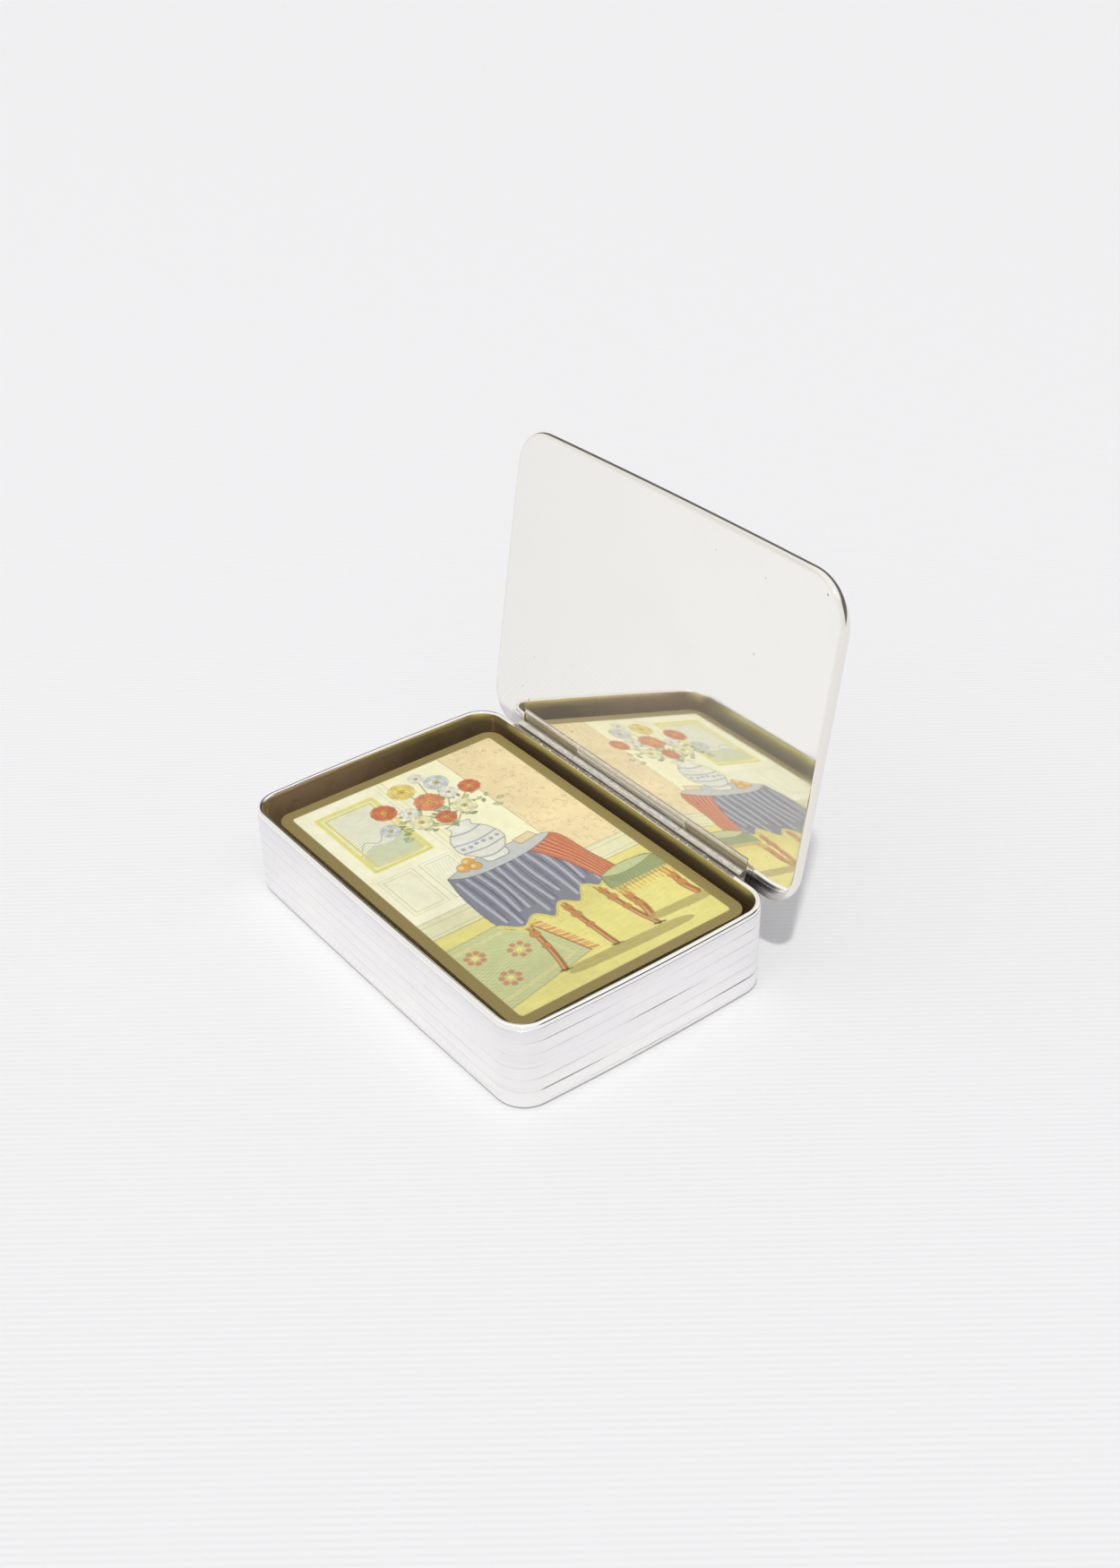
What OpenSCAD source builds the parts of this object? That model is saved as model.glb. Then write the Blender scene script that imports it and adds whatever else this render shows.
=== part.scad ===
// Hinged metal case for one pack of playing cards, standing with its lid open.
// The origin is the middle of the underside of the case. X runs along the hinge,
// +Y points to the hinge side and +Z points up.

/* [Case] */
// Length of the case along the hinge, over the ribs
case_length = 98.8; // [80:0.2:130]
// Width of the case from front to back, over the ribs
case_width = 65.2; // [50:0.2:90]
// Height of the top of the rim above the table
rim_top = 20.8; // [20.2:0.1:40]
// Radius of the upright corners, seen from above
case_corner = 6.6; // [4:0.2:12]
// Thickness of the side wall, over the ribs
wall_thickness = 1.1; // [0.9:0.05:2]
// Thickness of the bottom sheet
base_thickness = 1; // [0.6:0.1:2]
// Radius that rolls the foot of the wall under the case
foot_radius = 1.6; // [1:0.1:2.5]
// Width of the turned-in flange that carries the bottom sheet
foot_flange = 1.2; // [0.6:0.1:3]

/* [Ribs] */
// Number of horizontal ribs round the wall
rib_count = 6; // [3:1:9]
// Depth of the grooves between the ribs
rib_depth = 0.28; // [0.1:0.02:0.4]
// Straight facets that draw one rib
rib_steps = 6; // [3:1:10]

/* [Rim] */
// Height of the polished rim that caps the wall
rim_height = 1.1; // [0.6:0.1:2]
// Width of the polished rim, seen from above
rim_width = 1.2; // [1.1:0.05:2]
// Distance that the rim stands back from the ribs
rim_setback = 0.1; // [0.05:0.05:0.3]
// Radius that rounds the upper edges of the rim
rim_rounding = 0.35; // [0.1:0.05:0.5]

/* [Lid] */
// Overhang of the lid past the two ends of the case
lid_end_overhang = 1.1; // [0.6:0.1:3]
// Distance of the lid from the middle of the case towards the right end
lid_shift_x = 0.6; // [-0.8:0.1:0.8]
// Overhang of the closed lid in front of the case
lid_front_overhang = 2.1; // [0.4:0.1:3]
// Overhang of the closed lid behind the case, over the hinge
lid_back_overhang = 3.8; // [3.7:0.1:6]
// Thickness of the lid, the diameter of its half-round edge
lid_thickness = 3; // [2.2:0.1:3.2]
// Thickness of the metal sheets in the lid
lid_sheet = 0.6; // [0.4:0.05:0.8]
// Radius of the lid's corners
lid_corner = 9.6; // [6:0.2:14]
// Width of the rolled edge round the inner plate
lid_lip = 2.4; // [2:0.1:5]
// Clearance between the inner plate and the rolled edge round it
plate_clearance = 0.05; // [0.02:0.01:0.15]
// Gap between the rim and the closed lid
lid_gap = 0.15; // [0.1:0.01:0.25]
// Angle between the closed lid and the open lid
lid_open_angle = 99; // [90:1:105]

/* [Hinge] */
// Distance between an end of the case and the end of the hinge
hinge_end_inset = 11.8; // [9:0.2:18]
// Length of the middle knuckle, which belongs to the lid
middle_knuckle_length = 36; // [16:0.5:44]
// Gap between neighbouring knuckles
knuckle_gap = 0.15; // [0.1:0.05:0.4]
// Outer radius of the knuckles
knuckle_radius = 0.8; // [0.7:0.05:1]
// Radius of the hinge pin
pin_radius = 0.4; // [0.3:0.05:0.5]
// Radial clearance of the pin in the lid's knuckle
pin_clearance = 0.05; // [0.02:0.01:0.1]
// Distance of the pin's axis behind the back wall
axis_setback = 1.2; // [1.1:0.05:1.35]
// Distance of the pin's axis below the top of the rim
axis_drop = 0.5; // [0.3:0.05:0.6]
// Height of the leaf that is soldered to the back wall
case_leaf_height = 4; // [2:0.2:8]
// Thickness of the leaf that is soldered to the back wall
case_leaf_thickness = 0.6; // [0.4:0.05:1]
// Reach of the lid's leaf from the pin's axis into the lid
lid_leaf_reach = 3.7; // [2.5:0.1:6]
// Clearance that the knuckles keep from the leaf they turn past
leaf_clearance = 0.12; // [0.08:0.01:0.15]
// Thickness of the gutter floor behind the knuckles in the lid
gutter_thickness = 0.4; // [0.3:0.05:0.8]
// Lap of the gutter floor behind the inner plate and past the hinge's ends
gutter_lap = 1; // [0.5:0.1:2]

/* [Cards] */
// Room between the rim and the pack at the two ends, with the pack in the middle
card_end_room = 4.1; // [1.2:0.1:8]
// Room between the rim and the pack at the front and back, with the pack in the middle
card_side_room = 2.3; // [1.2:0.1:6]
// Radius of a card's corners
card_corner = 3.5; // [2:0.1:6]
// Thickness of one card
card_thickness = 0.28; // [0.2:0.01:0.3]
// Air between two cards in the pack
card_air = 0.02; // [0.01:0.01:0.05]
// Number of cards in one suit
suit_cards = 13; // [8:1:13]
// Distance of the pack from the middle of the case towards the right end
pack_shift_x = 0.2; // [-1:0.1:1]
// Distance of the pack from the middle of the case towards the hinge
pack_shift_y = 0.75; // [0:0.05:1]

/* [Hidden] */
smooth = 96;
foot_steps = 5;
// How far a cut runs past the face it opens
cut_over = 1;
wall_top = rim_top - rim_height;
foot_inset = foot_radius + foot_flange;
rib_height = (wall_top - foot_radius) / rib_count;
axis_y = case_width / 2 + axis_setback;
axis_z = rim_top - axis_drop;
lid_bottom = rim_top + lid_gap;
lid_length = case_length + 2 * lid_end_overhang;
lid_width = case_width + lid_front_overhang + lid_back_overhang;
lid_shift_y = (lid_back_overhang - lid_front_overhang) / 2;
edge_radius = lid_thickness / 2;
plate_inset = lid_lip + plate_clearance;
hinge_length = case_length - 2 * hinge_end_inset;
side_knuckle_length = (hinge_length - middle_knuckle_length) / 2 - knuckle_gap;
side_knuckle_start = middle_knuckle_length / 2 + knuckle_gap;
// The channel in the lid clears the knuckles on both sides of the axis
channel_radius = knuckle_radius + leaf_clearance;
channel_front = axis_y - lid_leaf_reach;
channel_length = hinge_length + 2 * knuckle_gap;
// The rim and the room inside it set the size of the cards
card_length = case_length - 2 * (rim_setback + rim_width + card_end_room);
card_width = case_width - 2 * (rim_setback + rim_width + card_side_room);
card_pitch = card_thickness + card_air;
silver = [0.86, 0.85, 0.83];
polished = [0.95, 0.94, 0.92];
dull_silver = [0.62, 0.61, 0.59];
gilt = [0.66, 0.6, 0.33];
card_stock = [0.95, 0.93, 0.84];

// Rounded rectangle, seen from above
module plan(length, width, corner) {
    square([length - 2 * corner, width], center = true);
    square([length, width - 2 * corner], center = true);
    for (side_x = [-1, 1], side_y = [-1, 1])
        translate([side_x * (length / 2 - corner), side_y * (width / 2 - corner)])
            circle(corner, $fn = smooth);
}

// Runs a profile round a rounded rectangle: x is outwards from the outline, y is up
module around(length, width, corner) {
    straight_x = length - 2 * corner;
    straight_y = width - 2 * corner;
    for (turn = [0, 180]) {
        rotate(turn) translate([length / 2, straight_y / 2, 0])
            rotate([90, 0, 0]) linear_extrude(straight_y) children();
        rotate(turn + 90) translate([width / 2, straight_x / 2, 0])
            rotate([90, 0, 0]) linear_extrude(straight_x) children();
    }
    for (quarter = [0:3])
        translate([(quarter == 0 || quarter == 3 ? 1 : -1) * straight_x / 2,
                (quarter < 2 ? 1 : -1) * straight_y / 2, 0])
            rotate(quarter * 90) rotate_extrude(angle = 90, $fn = smooth)
                translate([corner, 0]) children();
}

// Turns what is drawn for the closed lid about the pin, to where it stands open
module open_lid() {
    translate([0, axis_y, axis_z]) rotate([-lid_open_angle, 0, 0])
        translate([0, -axis_y, -axis_z]) children();
}

// Round bar along the hinge, starting at x
module hinge_bar(x, length, radius) {
    translate([x, axis_y, axis_z]) rotate([0, 90, 0])
        cylinder(h = length, r = radius, $fn = smooth);
}

// Rolled tube of the hinge with its bore
module knuckle(x, length, bore) {
    difference() {
        hinge_bar(x, length, knuckle_radius);
        hinge_bar(x - cut_over, length + 2 * cut_over, bore);
    }
}

// Bottom sheet, held in the turned-in foot of the wall
module base_plate() {
    color(gilt) linear_extrude(base_thickness)
        plan(case_length - 2 * foot_inset, case_width - 2 * foot_inset,
            case_corner - foot_inset);
}

// Outer line of the wall: the rolled foot, then the ribs up to the rim
function foot_line() = [for (step = [0:foot_steps - 1])
    let (angle = 90 * step / foot_steps)
    [-foot_radius + foot_radius * sin(angle), foot_radius - foot_radius * cos(angle)]];
function rib_line() = [for (rib = [0:rib_count - 1], step = [0:rib_steps - 1])
    let (bulge = sin(180 * step / rib_steps))
    [-rib_depth * (1 - bulge), foot_radius + rib_height * (rib + step / rib_steps)]];

module wall_profile() {
    polygon(concat([[-foot_inset, 0]], foot_line(), rib_line(),
        [[-rib_depth, wall_top], [-wall_thickness, wall_top],
            [-wall_thickness, base_thickness], [-foot_inset, base_thickness]]));
}

module case_wall() {
    color(silver) around(case_length, case_width, case_corner) wall_profile();
}

// Polished rim with a softly rounded top
module rim_profile() {
    inner = -rim_setback - rim_width;
    translate([inner, wall_top]) square([rim_width, rim_height - rim_rounding]);
    translate([inner + rim_rounding, wall_top])
        square([rim_width - 2 * rim_rounding, rim_height]);
    for (x = [inner + rim_rounding, -rim_setback - rim_rounding])
        translate([x, rim_top - rim_rounding]) circle(rim_rounding, $fn = smooth);
}

module rim_wire() {
    color(polished) around(case_length, case_width, case_corner) rim_profile();
}

// Leaf on the back wall: it touches the side knuckles and clears the middle one
module case_hinge_leaf() {
    color(dull_silver) difference() {
        translate([-hinge_length / 2, case_width / 2, rim_top - case_leaf_height])
            cube([hinge_length, case_leaf_thickness, case_leaf_height]);
        for (x = [-hinge_length / 2 - cut_over, side_knuckle_start])
            hinge_bar(x, side_knuckle_length + cut_over, knuckle_radius);
        hinge_bar(-side_knuckle_start, 2 * side_knuckle_start, channel_radius);
    }
}

module knuckle_left() {
    color(polished) knuckle(-hinge_length / 2, side_knuckle_length, pin_radius);
}

module knuckle_right() {
    color(polished) knuckle(side_knuckle_start, side_knuckle_length, pin_radius);
}

module hinge_pin() {
    color(dull_silver) hinge_bar(-hinge_length / 2, hinge_length, pin_radius);
}

// Half-round edge of the lid with the lip that holds the inner plate
module lid_edge_profile() {
    difference() {
        union() {
            intersection() {
                translate([-edge_radius, edge_radius]) circle(edge_radius, $fn = smooth);
                translate([-edge_radius, -cut_over])
                    square([edge_radius + cut_over, lid_thickness + 2 * cut_over]);
            }
            translate([-lid_lip, 0]) square([lid_lip - edge_radius, lid_thickness]);
        }
        translate([-edge_radius, edge_radius]) circle(edge_radius - lid_sheet, $fn = smooth);
        translate([-lid_lip - cut_over, lid_sheet])
            square([lid_lip + cut_over - edge_radius, lid_thickness - 2 * lid_sheet]);
    }
}

// Channel along the hinge in the closed lid, from the leaf's edge past the knuckles
module hinge_channel() {
    translate([-channel_length / 2, channel_front, lid_bottom - cut_over])
        cube([channel_length, lid_leaf_reach + channel_radius, cut_over + lid_sheet]);
}

// Outer skin of the lid: a flat sheet with a rolled edge
module lid_shell() {
    color(silver) open_lid() difference() {
        translate([lid_shift_x, lid_shift_y, lid_bottom]) {
            around(lid_length, lid_width, lid_corner) lid_edge_profile();
            translate([0, 0, lid_thickness - lid_sheet]) linear_extrude(lid_sheet)
                plan(lid_length - 2 * lid_lip, lid_width - 2 * lid_lip, lid_corner - lid_lip);
        }
        hinge_channel();
    }
}

// Polished plate that lines the lid, cut away along the hinge
module lid_inner_plate() {
    color(polished) open_lid() difference() {
        translate([lid_shift_x, lid_shift_y, lid_bottom]) linear_extrude(lid_sheet)
            plan(lid_length - 2 * plate_inset, lid_width - 2 * plate_inset,
                lid_corner - plate_inset);
        hinge_channel();
    }
}

// Leaf in the lid's channel: a strip with a tongue that reaches the middle knuckle,
// on the floor of the gutter that the knuckles lie in
module lid_hinge_leaf() {
    strip_width = lid_leaf_reach - channel_radius;
    floor_back = lid_shift_y + lid_width / 2 - edge_radius;
    color(dull_silver) open_lid() {
        difference() {
            translate([0, channel_front, lid_bottom]) {
                translate([-hinge_length / 2, 0, 0])
                    cube([hinge_length, strip_width, lid_sheet]);
                translate([-middle_knuckle_length / 2, 0, 0])
                    cube([middle_knuckle_length, lid_leaf_reach, lid_sheet]);
            }
            hinge_bar(-middle_knuckle_length / 2 - cut_over,
                middle_knuckle_length + 2 * cut_over, knuckle_radius);
        }
        translate([-channel_length / 2 - gutter_lap, channel_front - gutter_lap,
                lid_bottom + lid_sheet])
            cube([channel_length + 2 * gutter_lap, floor_back - channel_front + gutter_lap,
                gutter_thickness]);
    }
}

module knuckle_middle() {
    color(polished) knuckle(-middle_knuckle_length / 2, middle_knuckle_length,
        pin_radius + pin_clearance);
}

// Cards lying flat in the case, counted from the bottom of the pack
module cards(first, count) {
    for (card = [first:first + count - 1])
        translate([pack_shift_x, pack_shift_y, base_thickness + card * card_pitch])
            linear_extrude(card_thickness) plan(card_length, card_width, card_corner);
}

module cards_spades() {
    color(card_stock) cards(0, suit_cards);
}

module cards_hearts() {
    color(card_stock) cards(suit_cards, suit_cards);
}

module cards_diamonds() {
    color(card_stock) cards(2 * suit_cards, suit_cards);
}

module cards_clubs() {
    color(card_stock) cards(3 * suit_cards, suit_cards);
}

module joker_card() {
    color(card_stock) cards(4 * suit_cards, 1);
}

module top_card() {
    color(gilt) cards(4 * suit_cards + 1, 1);
}

base_plate();
case_wall();
rim_wire();
case_hinge_leaf();
knuckle_left();
knuckle_right();
hinge_pin();
lid_shell();
lid_inner_plate();
lid_hinge_leaf();
knuckle_middle();
cards_spades();
cards_hearts();
cards_diamonds();
cards_clubs();
joker_card();
top_card();
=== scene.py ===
"""Looks of the card case: silver outside, gilt inside, its lid open over the pack."""

import math

import bmesh
import bpy
import numpy as np
from mathutils import Matrix, Vector

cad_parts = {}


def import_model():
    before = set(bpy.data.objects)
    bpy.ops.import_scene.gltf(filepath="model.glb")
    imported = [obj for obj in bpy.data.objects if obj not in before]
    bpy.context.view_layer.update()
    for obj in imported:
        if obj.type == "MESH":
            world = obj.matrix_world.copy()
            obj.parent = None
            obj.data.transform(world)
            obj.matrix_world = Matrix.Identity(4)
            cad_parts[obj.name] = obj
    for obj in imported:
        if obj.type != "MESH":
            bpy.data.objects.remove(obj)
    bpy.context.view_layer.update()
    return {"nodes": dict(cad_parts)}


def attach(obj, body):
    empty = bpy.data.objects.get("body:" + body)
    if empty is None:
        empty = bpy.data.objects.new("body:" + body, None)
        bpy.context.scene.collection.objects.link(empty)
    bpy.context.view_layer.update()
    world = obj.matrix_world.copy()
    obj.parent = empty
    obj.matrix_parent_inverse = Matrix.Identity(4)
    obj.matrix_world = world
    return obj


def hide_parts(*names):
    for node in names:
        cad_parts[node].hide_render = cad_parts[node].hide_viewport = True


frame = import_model()

MM = 0.001

# Sizes that repeat the solids, in millimetres.
CASE = (98.8, 65.2)
CASE_CORNER = 6.6
RIM_TOP = 20.8
RIM_HEIGHT = 1.1
WALL_TOP = RIM_TOP - RIM_HEIGHT
FOOT_RADIUS = 1.6
FOOT_EDGE = 2.8
RIBS = 6
RIB_HEIGHT = (WALL_TOP - FOOT_RADIUS) / RIBS
LID_SHIFT_X = 0.6
LID_LENGTH = 101.0
LID_FRONT, LID_BACK = -34.54, 36.4
LID_CORNER = 9.6
LID_THICKNESS = 3.0
LID_BOTTOM = RIM_TOP + 0.15
LID_OPEN = math.radians(99)
AXIS_Y, AXIS_Z = 33.8, 20.3
LEAF_REACH = 3.7
HINGE_HALF = 37.6
MIDDLE_HALF = 18.0
CARD = (88.0, 58.0)
CARD_CORNER = 3.5
CARD_THICKNESS = 0.28
CARD_CENTRE = (0.2, 0.75)
DECK_TOP = 17.18

# Forms that only the dressed case has, in millimetres.
BOW_ENDS, BOW_SIDES = 0.75, 0.3
WALL_INSIDE = -1.12
GROOVE_WIDTH = 0.045
RIB_SHARES = (0, 0.02, 0.045, 0.075, 0.12, 0.2, 0.35, 0.5, 0.65, 0.8, 0.88, 0.925, 0.955, 0.98)
LID_BOW, LID_SKEW, LID_END_BOW = 0.5, -0.45, 0.25
LID_CORNERS = (8.8, 11.0, 8.0)
# The lid's edge is rounder on the outside: how far in and how far up each part goes.
INNER_EDGE = (0.8, 1.1)
OUTER_EDGE = (1.7, LID_THICKNESS - INNER_EDGE[1])


# Node helpers

def arithmetic(operation):
    """Methods that add a Math node, with the value on the left or on the right."""
    def left(self, other):
        return self.nodes.math(operation, self, other)

    def right(self, other):
        return self.nodes.math(operation, other, self)

    return left, right


class Value:
    """A node's result. Arithmetic on it adds Math nodes."""

    __add__, __radd__ = arithmetic("ADD")
    __sub__, __rsub__ = arithmetic("SUBTRACT")
    __mul__, __rmul__ = arithmetic("MULTIPLY")
    __truediv__, __rtruediv__ = arithmetic("DIVIDE")

    def __init__(self, nodes, socket):
        self.nodes, self.socket = nodes, socket

    def __abs__(self):
        return self.nodes.math("ABSOLUTE", self)


class Nodes:
    """Short calls for building one material's or world's node tree."""

    def __init__(self, owner, output="ShaderNodeOutputMaterial"):
        owner.use_nodes = True
        self.owner, self.tree = owner, owner.node_tree
        self.tree.nodes.clear()
        self.out = self.add(output)

    def add(self, kind, **settings):
        node = self.tree.nodes.new(kind)
        for key, value in settings.items():
            setattr(node, key, value)
        return node

    def result(self, node, output=0):
        return Value(self, node.outputs[output])

    def put(self, socket, value):
        if isinstance(value, Value):
            self.tree.links.new(value.socket, socket)
        elif isinstance(value, tuple) and len(value) == 3 and socket.type == "RGBA":
            socket.default_value = (*value, 1.0)
        else:
            socket.default_value = value

    def fill(self, node, **values):
        """Sets or links inputs by name, with _ for each space in the name."""
        for name, value in values.items():
            self.put(node.inputs[name.replace("_", " ")], value)

    def math(self, operation, a, b=0.0):
        node = self.add("ShaderNodeMath", operation=operation)
        self.put(node.inputs[0], a)
        self.put(node.inputs[1], b)
        return self.result(node)

    def mix(self, factor, a, b, kind="MIX"):
        node = self.add("ShaderNodeMix", data_type="RGBA", blend_type=kind)
        for index, value in ((0, factor), (6, a), (7, b)):
            self.put(node.inputs[index], value)
        return self.result(node, 2)

    def place(self, scale=(1, 1, 1), turn=(0, 0, 0)):
        """Object coordinates in millimetres, scaled and turned."""
        if not hasattr(self, "coords"):
            self.coords = self.result(self.add("ShaderNodeTexCoord"), "Object")
        node = self.add("ShaderNodeMapping")
        self.fill(node, Vector=self.coords, Rotation=turn, Scale=[value / MM for value in scale])
        return self.result(node)

    def split(self, vector):
        node = self.add("ShaderNodeSeparateXYZ")
        self.put(node.inputs[0], vector)
        return [self.result(node, axis) for axis in range(3)]

    def xyz(self):
        return self.split(self.place())

    def lid_axes(self):
        """Distances from the pin's axis up the open lid and through it, in millimetres."""
        _, y, z = self.xyz()
        y, z = y - AXIS_Y, z - AXIS_Z
        cos, sin = math.cos(LID_OPEN), math.sin(LID_OPEN)
        return y * -cos + z * sin, y * sin + z * cos

    def noise(self, scale, detail=3.0, stretch=(1, 1, 1), rough=0.55, turn=(0, 0, 0)):
        node = self.add("ShaderNodeTexNoise")
        self.fill(node, Vector=self.place(stretch, turn), Scale=scale, Detail=detail,
                  Roughness=rough)
        return self.result(node, "Fac")

    def ramp(self, value, stops):
        """Colours at given places between -1 and 1."""
        node = self.add("ShaderNodeValToRGB")
        band = node.color_ramp.elements
        while len(band) < len(stops):
            band.new(0.5)
        for element, (place, colour) in zip(band, stops):
            element.position, element.color = 0.5 + 0.5 * place, (*colour, 1)
        self.put(node.inputs[0], value * 0.5 + 0.5)
        return self.result(node)

    def step(self, value, none, full):
        """0 at none, 1 at full, smooth between. Either may be the larger."""
        node = self.add("ShaderNodeMapRange", interpolation_type="SMOOTHSTEP")
        self.fill(node, Value=value, From_Min=none, From_Max=full)
        return self.result(node)

    def bump(self, height, distance, strength=1.0):
        node = self.add("ShaderNodeBump")
        self.fill(node, Height=height, Strength=strength, Distance=distance * MM)
        return self.result(node)

    def surface(self, colour, rough, metal, normal, **sockets):
        shader = self.add("ShaderNodeBsdfPrincipled")
        self.fill(shader, Base_Color=colour, Roughness=rough, Metallic=metal, Normal=normal,
                  **sockets)
        self.fill(self.out, Surface=self.result(shader))
        return self.owner


def material(name):
    return Nodes(bpy.data.materials.new(name))


# Materials

def silver_outside():
    """Polished plate on the case: clouded by handling, a little brown in the grooves, and darker
    towards the top under the rim as painted shade.
    """
    n = material("silver_outside")
    z = n.xyz()[2]
    cloud = n.noise(0.06, 4, (1, 1, 2.2))
    smear = n.noise(0.35, 3, (0.25, 0.25, 3.0))
    hair = n.noise(5.0, 2, (0.05, 0.05, 4.0))
    colour = n.mix(n.step(cloud, 0.35, 0.7), (0.9, 0.887, 0.9), (0.93, 0.92, 0.91))
    colour = n.mix(n.step(smear, 0.5, 0.75) * 0.18, colour, (0.76, 0.73, 0.68))
    rib = n.math("FRACT", (z - FOOT_RADIUS) / RIB_HEIGHT)
    groove = n.step(abs(rib - 0.5), 0.4, 0.5)
    colour = n.mix(groove * (n.step(smear, 0.25, 0.6) * 0.55), colour, (0.72, 0.69, 0.7))
    # Painted shade: the wall darker towards its top, under the rim
    colour = n.mix(n.step(z, 16.5, 19.6) * 0.5, colour, (0.8, 0.785, 0.8))
    rough = n.step(smear, 0.3, 0.8) * 0.08 + 0.15
    return n.surface(colour, rough, 1.0, n.bump(cloud * 6.0 + hair, 0.012, 0.4))


def silver_rim():
    """Bright rim, with a rough soldered patch along the hinge."""
    n = material("silver_rim")
    x, y, _ = n.xyz()
    along = n.step(abs(x), HINGE_HALF + 0.4, HINGE_HALF - 0.6)
    patch = along * n.step(y + x * x * 0.00012, 31.33, 31.41)
    grain = n.noise(2.4, 5, (0.5, 1, 1), 0.7)
    speck = n.step(n.noise(1.2, 2, rough=0.5), 0.6, 0.66)
    bright = n.mix(n.noise(0.2, 3), (0.94, 0.93, 0.9), (0.985, 0.98, 0.96))
    rubbed = n.mix(n.step(grain, 0.35, 0.7), (0.24, 0.22, 0.19), (0.46, 0.43, 0.38))
    rubbed = n.mix(speck, rubbed, (0.9, 0.88, 0.82))
    colour = n.mix(patch, bright, rubbed)
    rough = 0.08 + patch * 0.22
    return n.surface(colour, rough, 1.0, n.bump((patch * 2.0 + 0.1) * grain, 0.05, 0.6))


def gilding():
    """Worn gilding inside the case: olive gold near the rim, brown at the left end, and lower down
    brown as painted shade, paler on the front wall as painted light.
    """
    n = material("gilding")
    x, y, z = n.xyz()
    stain = n.noise(0.1, 4, (1, 1, 1.6), 0.55)
    fine = n.noise(1.1, 4, (0.25, 0.25, 1.5), 0.6)
    left = n.step(x, -38, -47.9) * (1 - n.step(y, -14, 18) * 0.8)
    above = n.step(z + stain * 1.6, 18.6, 20.2)
    gold = n.mix(n.step(stain, 0.4, 0.72), (0.82, 0.78, 0.36), (0.74, 0.66, 0.32))
    # Painted shade and light below the rim band: brown on most walls, paler on the front wall
    front = n.step(y, -24, -31)
    lower_shade_and_light = n.mix(front, (0.47, 0.36, 0.21), (0.84, 0.76, 0.54))
    colour = n.mix(above, lower_shade_and_light, gold)
    colour = n.mix(left * n.step(stain, 0.25, 0.55), colour, (0.7, 0.52, 0.33))
    colour = n.mix(n.step(fine, 0.52, 0.8) * 0.12, colour, (0.95, 0.9, 0.65))
    rough = stain * 0.12 + 0.18
    metal = 0.82 - n.math("MAXIMUM", left, front) * 0.15
    return n.surface(colour, rough, metal, n.bump(fine, 0.008, 0.25))


def mirror_silver():
    """The lid's polished skin: a faint haze, hairlines, a few specks and a duller border,
    with painted shade towards the left end, a painted reflection round the rounded edge and a dark
    painted reflection of the shaded gap beside each end of the hinge."""
    n = material("mirror_silver")
    x = n.xyz()[0]
    rise, through = n.lid_axes()
    haze = n.noise(0.045, 4, rough=0.6)
    wipe = n.noise(0.5, 3, (0.2, 1.4, 1.4), 0.6, (0, 0.5, 0))
    speck = n.step(n.noise(0.8, 1, rough=0.4), 0.815, 0.835)
    # Distance in from the rounded outline
    middle = (LID_BACK + LID_FRONT) / 2
    beside = abs(x - LID_SHIFT_X) - (LID_LENGTH / 2 - LID_CORNER)
    above = abs(rise - (AXIS_Y - middle)) - ((LID_BACK - LID_FRONT) / 2 - LID_CORNER)
    beside, above = n.math("MAXIMUM", beside, 0.0), n.math("MAXIMUM", above, 0.0)
    inset = LID_CORNER - n.math("SQRT", beside * beside + above * above)
    edge = n.step(inset, 1.5, 0.5)
    border = n.step(inset, 5.0, 1.0)
    # Painted reflection of the shaded gap beside the hinge: it stays on the inner side of the lid's
    # rounded edge
    low = n.step(rise, 1.5, 0.1) * n.step(through, 3.0, 1.7)
    right = n.step(x, HINGE_HALF - 0.4, HINGE_HALF + 0.2) * (1 - n.step(x, 40, 48) * 0.75)
    left = n.step(x, -HINGE_HALF + 0.4, -HINGE_HALF - 0.2)
    colour = n.mix(n.step(haze, 0.4, 0.68), (0.985, 0.975, 0.935), (0.97, 0.96, 0.915))
    # Painted shade: the skin darker and warmer towards the left end
    colour = n.mix(n.step(x, 25, -60) * 0.8, colour, (0.935, 0.92, 0.875))
    # Painted reflection: the rounded edge darker and warmer
    colour = n.mix(edge, colour, (0.885, 0.86, 0.81))
    # Painted reflections of the shaded gap: grey-lilac at the left end of the hinge, near black at
    # the right end
    colour = n.mix(low * (left * 0.5), colour, (0.5, 0.47, 0.49))
    colour = n.mix(low * right, colour, (0.07, 0.06, 0.05))
    colour = n.mix(speck, colour, (0.45, 0.43, 0.4))
    rough = n.step(wipe, 0.4, 0.8) * 0.015 + 0.03
    rough = rough + n.step(haze, 0.5, 0.75) * 0.015
    rough = rough + (border - edge) * 0.03
    return n.surface(colour, rough, 0.89, n.bump(haze, 0.02, 0.2))


def worn_tube():
    """Hinge tubes: bright along the top, grey and scratched round them."""
    n = material("worn_tube")
    grain = n.noise(1.6, 5, (0.35, 1, 1), 0.7)
    speck = n.step(n.noise(1.5, 2), 0.61, 0.67)
    colour = n.mix(n.step(grain, 0.35, 0.7), (0.6, 0.57, 0.52), (0.86, 0.83, 0.77))
    colour = n.mix(speck * 0.6, colour, (0.98, 0.97, 0.94))
    return n.surface(colour, grain * 0.2 + 0.2, 0.85, n.bump(grain, 0.02, 0.4))


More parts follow.
